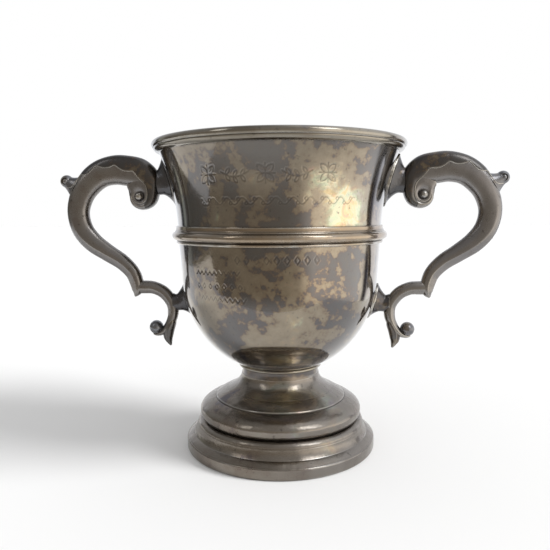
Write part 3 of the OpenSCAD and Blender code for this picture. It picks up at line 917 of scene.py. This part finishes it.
def leaf_cap(side_name, side):
    """The scalloped leaf: a raised skin over the outer side of the arch, with a bead along its edge."""
    across = 40
    first_cusp, tip = LOBES[0][0][0], LOBES[-1][-1][0]
    knots = np.concatenate([np.linspace(LEAF_FROM, first_cusp, 40)[:-1], np.linspace(first_cusp, tip, 170)])
    edge = leaf_edge()
    start = [[LEAF_FROM, -0.35], [4.5, -0.98], [6.0, -0.95]]
    place = np.interp(knots, np.concatenate([[k for k, _ in start], edge[:, 0]]),
                      np.concatenate([[u for _, u in start], edge[:, 1]]))
    line, normal = at_knot(knots)
    # The front half of the section, and the share of its length that is passed at each point
    half = smooth(ROUND_FACE, 8)
    length = length_along(half)
    length = length / length[-1]
    top, under = [], []
    share = np.linspace(-1, 1, across + 1)
    for knot, u_edge, (x, z, width, depth), (nx, nz) in zip(knots, place, line, normal):
        reach = max(np.interp(-u_edge, -half[:, 0], length), 0.02)
        u = np.interp(abs(share) * reach, length, half[:, 0])
        v = np.interp(abs(share) * reach, length, half[:, 1]) * np.sign(share)
        inside = (1 - abs(share)) * reach * (width + depth) * 0.6
        fade = np.clip((knot - LEAF_FROM) / 1.5, 0, 1)
        raised = fade * (0.10 + 0.16 * np.clip(inside / 2.5, 0, 1)) * np.clip(inside / 0.1, 0, 1) - 0.02
        steep = np.maximum(np.hypot(u, v), 0.2)
        for rows, lift in ((top, raised), (under, np.full(across + 1, -0.3))):
            su, sv = (u * width / 2 + lift * u / steep), (v * depth / 2 + lift * v / steep)
            rows.append(np.stack([side * (x + su * nx), sv, z + su * nz], 1))
    skin = tube([np.vstack([a, b[::-1]]) for a, b in zip(top, under)])
    body_points, body_faces = joined(scroll_parts(side), thumb_parts(side))
    surface = BVHTree.FromPolygons([Vector(q) for q in body_points], body_faces)
    points, faces = joined(skin, edge_bead(side, 1, surface), edge_bead(side, -1, surface))
    rubbed = np.where(np.arange(len(points)) < len(skin[0]), 0.0, -0.2)
    make(f"{side_name}_leaf", (points, faces), f"{side_name}_leaf_cap", LEAF_SILVER, sharp=60, cut=rubbed)


def thumb_parts(side):
    """The leaf's curled tip: a neck that spreads along the handle, and a ball with an eye in each side."""
    (x, z, width, _), (nx, nz) = (rows[0] for rows in at_knot([NECK_FROM]))
    root = np.array([x + nx * (width / 2 - 1.5), z + nz * (width / 2 - 1.5)])
    angle = full_turn(48)
    rings = []
    for t in np.linspace(0, 1, 22):
        centre = root + (THUMB[[0, 2]] - root) * t
        above, below = 2.45 + 2.6 * (1 - t) ** 2.1, 2.6 + 3.1 * (1 - t) ** 1.3
        reach = np.cos(angle) * np.where(np.cos(angle) > 0, above, below)
        wide = 2.35 + 0.9 * (1 - t) ** 1.6
        x, z = centre[0] - nz * reach, centre[1] + nx * reach
        rings.append(np.stack([side * x, wide * np.sin(angle), z], 1))
    eye = [[TIP_R, -2.68], [0.4, -2.62], [0.8, -2.42], [1.05, -2.15], [1.15, -1.95], [1.32, -1.95],
           [1.42, -2.16]]
    rest = [[THUMB_R * math.cos(a), THUMB_R * math.sin(a)] for a in np.radians(np.linspace(-57, 57, 29))]
    outline = eye + rest + [[r, -y] for r, y in eye[::-1]]
    return joined(disc_about_y(THUMB[[0, 2]], outline, 64, side), tube(rings))


def thumb_ball(side_name, side):
    make(f"{side_name}_thumbpiece", thumb_parts(side), f"{side_name}_thumb_ball", BALL_SILVER)


def scroll_ball(side_name, side):
    angle = full_turn(64)
    rings = []
    for a in np.radians(np.linspace(-90, 90, 33)):
        around = max(BALL_R * math.cos(a), TIP_R)
        rings.append(BALL + np.stack([around * np.cos(angle), around * np.sin(angle),
                                      np.full(len(angle), BALL_R * math.sin(a))], 1))
    points, faces = tube(rings)
    make(f"{side_name}_ball", (points * [side, 1, 1], faces), f"{side_name}_scroll_ball", BALL_SILVER)


def volute_button(side_name, side, face_name, face):
    """A domed button that stands out of the web on one face of the handle, with a painted highlight on its
    right.
    """
    angles = np.radians(np.linspace(0, 88, 14))
    face_y = -WEB_DEPTH / 2
    dome = [[BUTTON_R * math.cos(a), face_y - BUTTON_R * math.sin(a)] for a in angles]
    outline = [[BUTTON_R, face_y + 0.4]] + dome
    points, faces = disc_about_y(EYE, outline, 48, side)
    points = points * [1, face, 1]
    # Painted highlight: a bright spot on the right of the dome, in the rubbed-bright colour.
    off_highlight = np.hypot(points[:, 0] - side * EYE[0] - 0.35, points[:, 2] - EYE[1] - 0.1)
    painted_highlight = -0.5 * np.clip(1 - (off_highlight / 1.6) ** 2, 0, 1)
    make(f"{side_name}_button_{face_name}", (points, faces), f"{side_name}_volute_button_{face_name}",
         BALL_SILVER, cut=painted_highlight)


def mount(side_name, side, level, plate, waist, landing):
    """A flared mount: a thin pointed plate on the bowl, then a trumpet to the waist that holds the handle.

    plate is (lowest z, highest z, half width); waist and landing are the same with their x in front.
    The waist leans out towards its top.
    """
    angle = full_turn(72)
    lean = np.sin(angle)
    z0, z1, half = plate
    middle, tall = (z0 + z1) / 2, (z1 - z0) / 2
    plate_y = half * np.sign(np.cos(angle)) * np.abs(np.cos(angle)) ** 1.2
    plate_z = middle + tall * lean
    rings = []

    def ring(y, z, x):
        rings.append(np.stack([side * x, y, z], 1))

    def on_bowl(y, z, proud):
        return np.sqrt(bowl_radius(z) ** 2 - y ** 2) + proud

    ring(plate_y, plate_z, on_bowl(plate_y, plate_z, -0.45))
    ring(plate_y, plate_z, on_bowl(plate_y, plate_z, 0.60))
    ring(plate_y * 0.96, middle + (plate_z - middle) * 0.985, on_bowl(plate_y, plate_z, 0.85))
    foot_y, foot_z = plate_y * 0.88, middle + (plate_z - middle) * 0.95
    foot_x = on_bowl(foot_y, foot_z, 0.95)
    wx, wz0, wz1, whalf = waist
    wx = wx + 1.2 * lean
    waist_y, waist_z = whalf * np.cos(angle), (wz0 + wz1) / 2 + (wz1 - wz0) / 2 * lean
    for t in np.linspace(0, 1, 20):
        closing = 1 - (1 - t) ** (1.3 - 0.1 * lean)
        leaving = t ** (1.22 - 0.07 * lean)
        ring(foot_y + (waist_y - foot_y) * closing, foot_z + (waist_z - foot_z) * closing,
             foot_x + (wx - foot_x) * leaving)
    lx, lz0, lz1, lhalf = landing
    landing_y, landing_z = lhalf * np.cos(angle), (lz0 + lz1) / 2 + (lz1 - lz0) / 2 * lean
    for t in np.linspace(0.2, 1, 6):
        spread = t ** 2.2
        ring(waist_y + (landing_y - waist_y) * spread, waist_z + (landing_z - waist_z) * spread,
             wx + (lx - wx) * t)
    make(f"{side_name}_{level}_socket", tube(rings), f"{side_name}_{level}_mount", MOUNT_SILVER, sharp=40)


base_band()
foot_shell()
collet()
collet_bead()
bowl()
girdle()
rim()
for side_name, side in SIDES.items():
    mount(side_name, side, "upper", (100.7, 122.2, 5.2), (50.2, 106.3, 116.6, 3.1),
          (53.6, 105.6, 116.8, 3.6))
    mount(side_name, side, "lower", (53.9, 69.0, 4.3), (43.2, 57.0, 64.0, 2.5), (45.8, 56.4, 64.4, 2.8))
    main_scroll(side_name, side)
    leaf_cap(side_name, side)
    thumb_ball(side_name, side)
    volute_button(side_name, side, "front", 1)
    volute_button(side_name, side, "back", -1)
    lower_scroll(side_name, side)
    scroll_ball(side_name, side)
    tail_spur(side_name, side)


# ---- studio

def stage_mesh(name, corners, faces, material):
    mesh = bpy.data.meshes.new(name)
    mesh.from_pydata(corners, [], faces)
    mesh.materials.append(material)
    item = linked(name, mesh)
    return item


def paper():
    material = bpy.data.materials.new("white_paper")
    material.use_nodes = True
    shader = material.node_tree.nodes["Principled BSDF"]
    shader.inputs["Base Color"].default_value = (0.9, 0.9, 0.9, 1)
    shader.inputs["Roughness"].default_value = 0.9
    shader.inputs["Specular IOR Level"].default_value = 0.1
    return material


def floor():
    """A white table top, and paper of the same colour round it that reflections don't see."""
    left, right, front, back, reach = -0.5, 0.2, -0.13, 0.6, 4.0
    inner = [(left, front, 0), (right, front, 0), (right, back, 0), (left, back, 0)]
    outer = [(-reach, -reach, 0), (reach, -reach, 0), (reach, reach, 0), (-reach, reach, 0)]
    white = paper()
    stage_mesh("table", inner, [(0, 1, 2, 3)], white)
    sides = [(k, (k + 1) % 4, 4 + (k + 1) % 4, 4 + k) for k in range(4)]
    stage_mesh("paper", outer + inner, sides, white).visible_glossy = False


def room():
    """White to the camera and the floor; to the shining silver, a dim room with a window on its right."""
    world = bpy.data.worlds.new("studio")
    bpy.context.scene.world = world
    world.use_nodes = True
    tree = world.node_tree
    tree.nodes.clear()
    n = Nodes(tree)
    ray = n.add("ShaderNodeSeparateXYZ", Vector=n.add("ShaderNodeTexCoord").outputs["Generated"])
    x, y, z = (ray.outputs[axis] for axis in "XYZ")
    turn = n.math("ARCTAN2", x, n.times(y, -1.0))
    turn = n.plus(n.math("DIVIDE", turn, 2 * math.pi), 0.5)
    rise = n.plus(n.times(z, 0.5), 0.5)

    def at(degrees):
        return degrees / 360 + 0.5

    def up(degrees):
        return 0.5 + 0.5 * math.sin(math.radians(degrees))

    around = n.ramp(turn, [
        (at(-180), (0.95, 0.97, 1.00)), (at(-136), (0.90, 0.93, 1.00)), (at(-132.5), (0.04, 0.04, 0.04)),
        (at(-127.5), (0.04, 0.04, 0.04)), (at(-124), (0.50, 0.52, 0.47)), (at(-117), (0.38, 0.38, 0.34)),
        (at(-110), (0.18, 0.17, 0.15)), (at(-75), (0.34, 0.31, 0.27)), (at(-40), (0.38, 0.34, 0.29)),
        (at(-12), (0.42, 0.37, 0.31)), (at(12), (0.50, 0.45, 0.38)), (at(24), (0.66, 0.60, 0.53)),
        (at(42), (1.80, 1.66, 1.48)), (at(104), (1.8, 1.75, 1.68)), (at(113), (1.5, 1.5, 1.5)),
        (at(117), (0.07, 0.07, 0.09)), (at(122), (0.07, 0.07, 0.09)), (at(127), (1.30, 1.30, 1.38)),
        (at(148), (1.10, 1.11, 1.15)), (at(180), (0.95, 0.97, 1.00))])
    above = n.ramp(turn, [
        (at(-180), (0.70, 0.71, 0.75)), (at(-100), (0.36, 0.36, 0.36)), (at(-50), (0.32, 0.31, 0.30)),
        (at(-22), (0.40, 0.38, 0.36)), (at(20), (0.52, 0.50, 0.48)), (at(48), (0.98, 0.97, 0.96)),
        (at(100), (1.15, 1.17, 1.20)), (at(180), (0.70, 0.71, 0.75))])
    seen = n.mix(n.ramp(rise, [(up(8), 0.0), (up(24), 1.0)]), around, above)
    seen = n.mix(n.ramp(rise, [(up(-37), 1.0), (up(-15), 0.0)]), seen, (0.86, 0.83, 0.78))

    path = n.add("ShaderNodeLightPath")
    plain, fill, mirror = (n.add("ShaderNodeBackground", Color=colour, Strength=strength).outputs[0]
                           for colour, strength in (((1, 1, 1, 1), 1.0), ((1, 1, 1, 1), 0.66), (seen, 1.0)))

    def either(kind, other, match):
        """match for rays of this kind, and other for the rest."""
        node = n.add("ShaderNodeMixShader")
        for key, value in (("0", path.outputs[kind]), ("1", other), ("2", match)):
            n.put(node, key, value)
        return node.outputs[0]

    light = either("Is Camera Ray", either("Is Glossy Ray", fill, mirror), plain)
    n.put(n.add("ShaderNodeOutputWorld"), "Surface", light)


def lamp(name, kind, where, aim=(0, 0, 0.06), **settings):
    data = bpy.data.lights.new(name, kind)
    for key, value in settings.items():
        setattr(data, key, value)
    item = linked(name, data)
    item.location = where
    item.rotation_euler = (Vector(aim) - Vector(where)).to_track_quat("-Z", "Y").to_euler()
    return item


def lights():
    """A low sun from the right that only the paper sees, and two soft panes that only the silver sees."""
    sun = lamp("sun", "SUN", (0.98, -0.16, 0.70), aim=(0, 0, 0), energy=2.7, angle=math.radians(24))
    sun.visible_glossy = False
    for name, where, width, height, power in (
            ("pane_right", (0.50, -0.42, 0.62), 0.26, 0.40, 1.3),
            ("pane_left", (-0.55, -0.45, 0.55), 0.14, 0.40, 0.35)):
        pane = lamp(name, "AREA", where, shape="RECTANGLE", size=width, size_y=height, energy=power)
        pane.visible_diffuse = False


def camera():
    """Just above the middle of the cup, a little to its right, looking slightly down."""
    yaw, pitch, roll = math.radians(4.0), math.radians(6.2), math.radians(0.33)
    reach, rise = 1.905 * CUP_H * MM, 0.776 * CUP_H * MM
    aside = -2.0 * MM
    data = bpy.data.cameras.new("camera")
    data.sensor_width = 36
    data.lens = 36 * 23 / 22
    data.clip_start = 0.01
    eye = linked("camera", data)
    place = Matrix.Rotation(yaw, 4, "Z") @ Matrix.Translation((aside, -reach, rise))
    aim = Matrix.Rotation(math.pi / 2 - pitch, 4, "X") @ Matrix.Rotation(-roll, 4, "Z")
    eye.matrix_world = place @ aim
    bpy.context.scene.camera = eye


floor()
room()
lights()
camera()
bpy.context.scene.view_settings.view_transform = "Standard"
bpy.context.scene.view_settings.look = "None"
